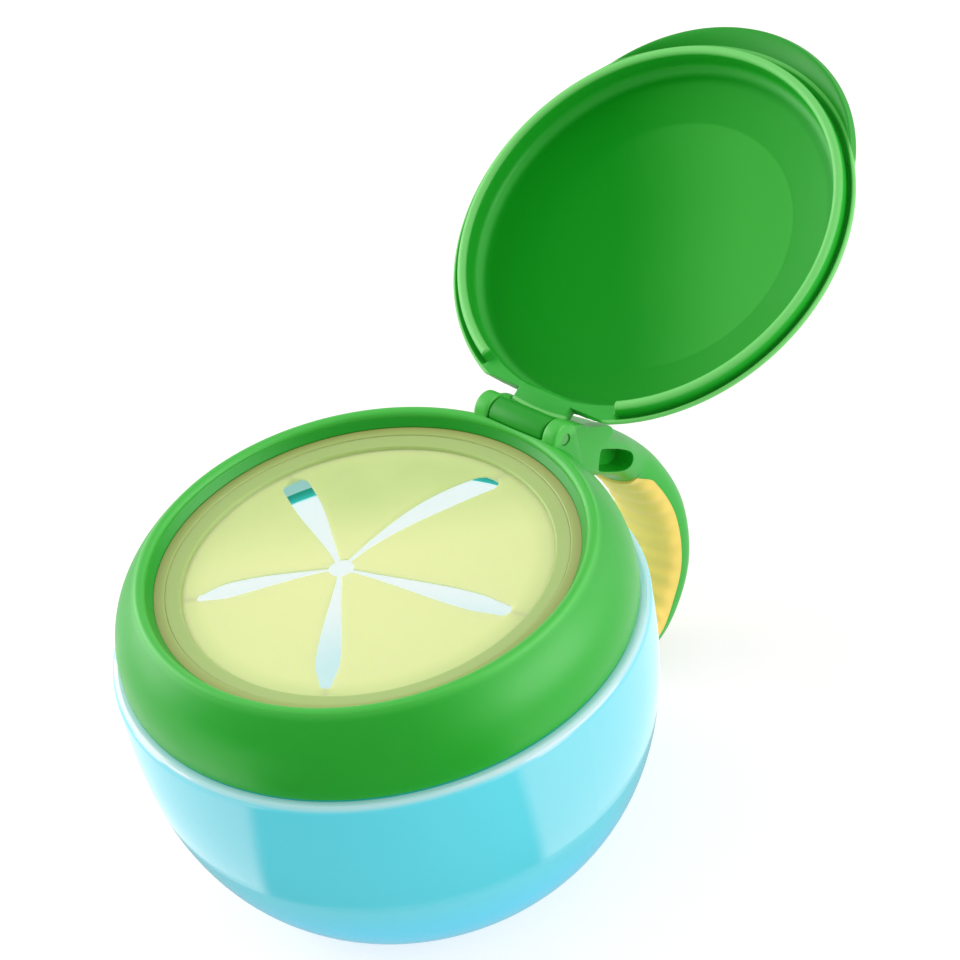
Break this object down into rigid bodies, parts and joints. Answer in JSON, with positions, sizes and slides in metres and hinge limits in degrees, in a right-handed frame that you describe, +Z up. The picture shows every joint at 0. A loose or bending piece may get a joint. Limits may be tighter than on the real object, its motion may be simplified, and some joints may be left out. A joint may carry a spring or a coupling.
{
  "type": "toddler snack container",
  "caption": "Round translucent snack cup with a screw-on collar, soft slit membrane, domed flip lid on a rear hinge and an open side handle with ribbed grip.",
  "frame": {"origin": "on the bowl's axis at its flat base", "axes": "+Z up along the bowl's axis, +Y towards the lid hinge and the handle, +X to the right seen from the front"},
  "size_m": [0.092, 0.1624, 0.0971],
  "materials": {
    "cup_plastic": "glossy translucent cyan polypropylene",
    "seal_silicone": "soft milky silicone",
    "green_plastic": "satin green polypropylene",
    "grip_rubber": "matt soft-touch yellow elastomer",
    "carrier_plastic": "semi-translucent olive plastic",
    "membrane_silicone": "pale yellow-green translucent silicone",
    "pin_steel": "drawn steel wire"
  },
  "bodies": {
    "bowl": {"bowl": "cup_plastic"},
    "seal": {"seal_ring": "seal_silicone"},
    "collar": {"collar": "green_plastic", "membrane_carrier": "carrier_plastic", "membrane": "membrane_silicone", "handle_grip": "grip_rubber", "hinge_pin": "pin_steel"},
    "lid": {"lid": "green_plastic"},
    "flap_1": {"flap_1": "membrane_silicone"},
    "flap_2": {"flap_2": "membrane_silicone"},
    "flap_3": {"flap_3": "membrane_silicone"},
    "flap_4": {"flap_4": "membrane_silicone"},
    "flap_5": {"flap_5": "membrane_silicone"}
  },
  "joints": [
    {"name": "collar_lift", "type": "slide", "parent": "bowl", "child": "seal", "axis": [0, 0, 1], "range_m": [0, 0.0092]},
    {"name": "collar_turn", "type": "hinge", "parent": "seal", "child": "collar", "pos_m": [0, 0, 0.0574], "axis": [0, 0, 1], "range_deg": [0, 360]},
    {"name": "lid_hinge", "type": "hinge", "parent": "collar", "child": "lid", "pos_m": [0, 0.0408, 0.0627], "axis": [1, 0, 0], "range_deg": [0, 154.4]},
    {"name": "flap_1_bend", "type": "hinge", "parent": "collar", "child": "flap_1", "pos_m": [0.01563, 0.0165, 0.05925], "axis": [0.7158, -0.6983, 0], "range_deg": [0, 70], "stiffness_Nm_per_rad": 0.003},
    {"name": "flap_2_bend", "type": "hinge", "parent": "collar", "child": "flap_2", "pos_m": [-0.01126, 0.01918, 0.05925], "axis": [0.8472, 0.5313, 0], "range_deg": [0, 70], "stiffness_Nm_per_rad": 0.003},
    {"name": "flap_3_bend", "type": "hinge", "parent": "collar", "child": "flap_3", "pos_m": [-0.02319, -0.00531, 0.05925], "axis": [-0.1778, 0.9841, 0], "range_deg": [0, 70], "stiffness_Nm_per_rad": 0.003},
    {"name": "flap_4_bend", "type": "hinge", "parent": "collar", "child": "flap_4", "pos_m": [-0.00316, -0.02307, 0.05925], "axis": [-0.9897, 0.1428, 0], "range_deg": [0, 70], "stiffness_Nm_per_rad": 0.003},
    {"name": "flap_5_bend", "type": "hinge", "parent": "collar", "child": "flap_5", "pos_m": [0.02097, -0.01048, 0.05925], "axis": [-0.4137, -0.9104, 0], "range_deg": [0, 70], "stiffness_Nm_per_rad": 0.003}
  ],
  "couplings": [
    {"joint": "collar_lift", "follows": "collar_turn", "m_per_rad": 0.0014324}
  ]
}
